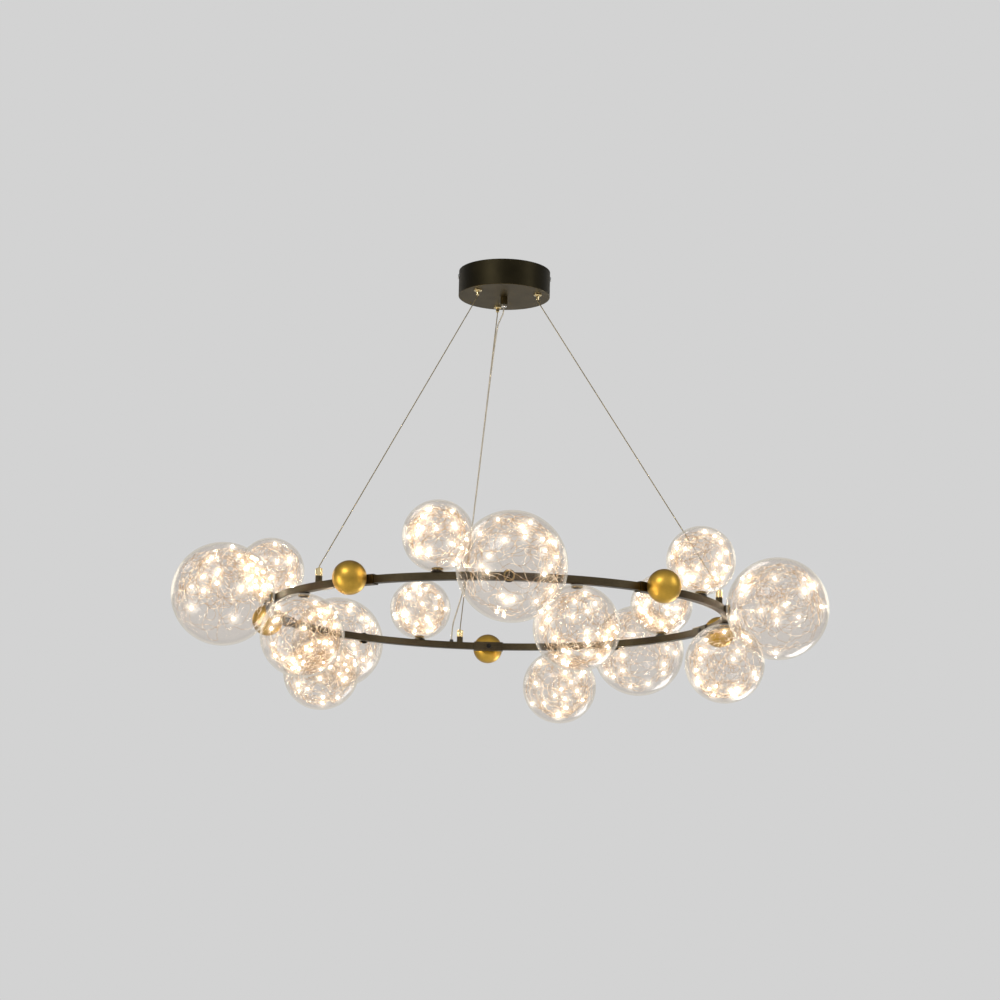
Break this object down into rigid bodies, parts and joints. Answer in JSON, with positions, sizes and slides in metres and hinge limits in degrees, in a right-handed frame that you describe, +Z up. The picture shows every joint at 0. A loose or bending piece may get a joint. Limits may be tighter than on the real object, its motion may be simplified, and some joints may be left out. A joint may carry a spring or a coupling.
{
  "type": "orb chandelier",
  "caption": "Ceiling chandelier: a dark round canopy and thin cables carry a slim bronze ring set with clear glass orbs of lit LED wire and satin gold balls; its height can be set.",
  "frame": {"origin": "middle of the ceiling bracket's upper face, on the ceiling", "axes": "+Z up to the ceiling; -Y is the front, with a big globe straight ahead; +X is to the right seen from the front"},
  "size_m": [0.9584, 0.9188, 0.6665],
  "materials": {
    "zinc_steel": "zinc plated, dull",
    "canopy_black": "black bronze, satin gloss",
    "white_plastic": "matt",
    "terminal_plastic": "matt",
    "lead_sheath": "smooth",
    "polished_brass": "polished",
    "spring_steel": "drawn wire",
    "cable_steel": "stranded wire, bronze tint",
    "gland_chrome": "bright",
    "clear_cord": "clear sheath",
    "ring_bronze": "dark bronze, brushed, satin",
    "black_screw": "black oxide",
    "satin_gold": "satin gold",
    "clear_glass": "clear, polished",
    "cap_bronze": "dark gold",
    "silicone": "soft",
    "nut_brass": "turned",
    "led_wire": "enamelled copper wire with warm white lights"
  },
  "bodies": {
    "canopy": {"canopy_leads": "lead_sheath", "canopy_shell": "canopy_black", "ceiling_bracket": "zinc_steel", "cord_gland_body": "canopy_black", "cord_gland_cap": "gland_chrome", "cord_gland_nut": "zinc_steel", "gripper_bodies": "polished_brass", "gripper_nuts": "zinc_steel", "gripper_spring_left": "spring_steel", "gripper_spring_rear": "spring_steel", "gripper_spring_right": "spring_steel", "led_driver": "white_plastic", "machine_screws": "zinc_steel", "power_cord": "clear_cord", "suspension_cable_left": "cable_steel", "suspension_cable_rear": "cable_steel", "suspension_cable_right": "cable_steel", "terminal_block": "terminal_plastic"},
    "hanging_ring": {"ball_screws": "black_screw", "big_globe_1": "clear_glass", "big_globe_2": "clear_glass", "big_globe_3": "clear_glass", "big_globe_4": "clear_glass", "big_globe_5": "clear_glass", "big_led_strings": "led_wire", "cable_ferrules": "spring_steel", "cord_grommet": "silicone", "gold_ball_1": "satin_gold", "gold_ball_2": "satin_gold", "gold_ball_3": "satin_gold", "gold_ball_4": "satin_gold", "gold_ball_5": "satin_gold", "joint_sleeves": "ring_bronze", "medium_globe_1": "clear_glass", "medium_globe_2": "clear_glass", "medium_globe_3": "clear_glass", "medium_globe_4": "clear_glass", "medium_globe_5": "clear_glass", "medium_led_strings": "led_wire", "orb_caps": "cap_bronze", "orb_gaskets": "silicone", "orb_lock_nuts": "nut_brass", "ring_fitting_bases": "ring_bronze", "ring_fitting_caps": "polished_brass", "ring_segment_1": "ring_bronze", "ring_segment_2": "ring_bronze", "ring_segment_3": "ring_bronze", "ring_segment_4": "ring_bronze", "ring_segment_5": "ring_bronze", "ring_wiring": "lead_sheath", "sleeve_grub_screws": "black_screw", "small_globe_1": "clear_glass", "small_globe_2": "clear_glass", "small_globe_3": "clear_glass", "small_globe_4": "clear_glass", "small_globe_5": "clear_glass", "small_led_strings": "led_wire"},
    "release_left": {"release_nipple_left": "polished_brass"},
    "release_right": {"release_nipple_right": "polished_brass"},
    "release_rear": {"release_nipple_rear": "polished_brass"}
  },
  "joints": [
    {"name": "ring_height", "type": "slide", "parent": "canopy", "child": "hanging_ring", "axis": [0, 0, 1], "range_m": [0, 0.2], "deforming": ["suspension_cable_left", "suspension_cable_right", "suspension_cable_rear", "power_cord"]},
    {"name": "release_left_press", "type": "slide", "parent": "canopy", "child": "release_left", "axis": [0, 0, 1], "range_m": [0, 0.002], "stiffness_N_per_m": 800, "springref_m": -0.003, "deforming": ["gripper_spring_left"]},
    {"name": "release_right_press", "type": "slide", "parent": "canopy", "child": "release_right", "axis": [0, 0, 1], "range_m": [0, 0.002], "stiffness_N_per_m": 800, "springref_m": -0.003, "deforming": ["gripper_spring_right"]},
    {"name": "release_rear_press", "type": "slide", "parent": "canopy", "child": "release_rear", "axis": [0, 0, 1], "range_m": [0, 0.002], "stiffness_N_per_m": 800, "springref_m": -0.003, "deforming": ["gripper_spring_rear"]}
  ]
}
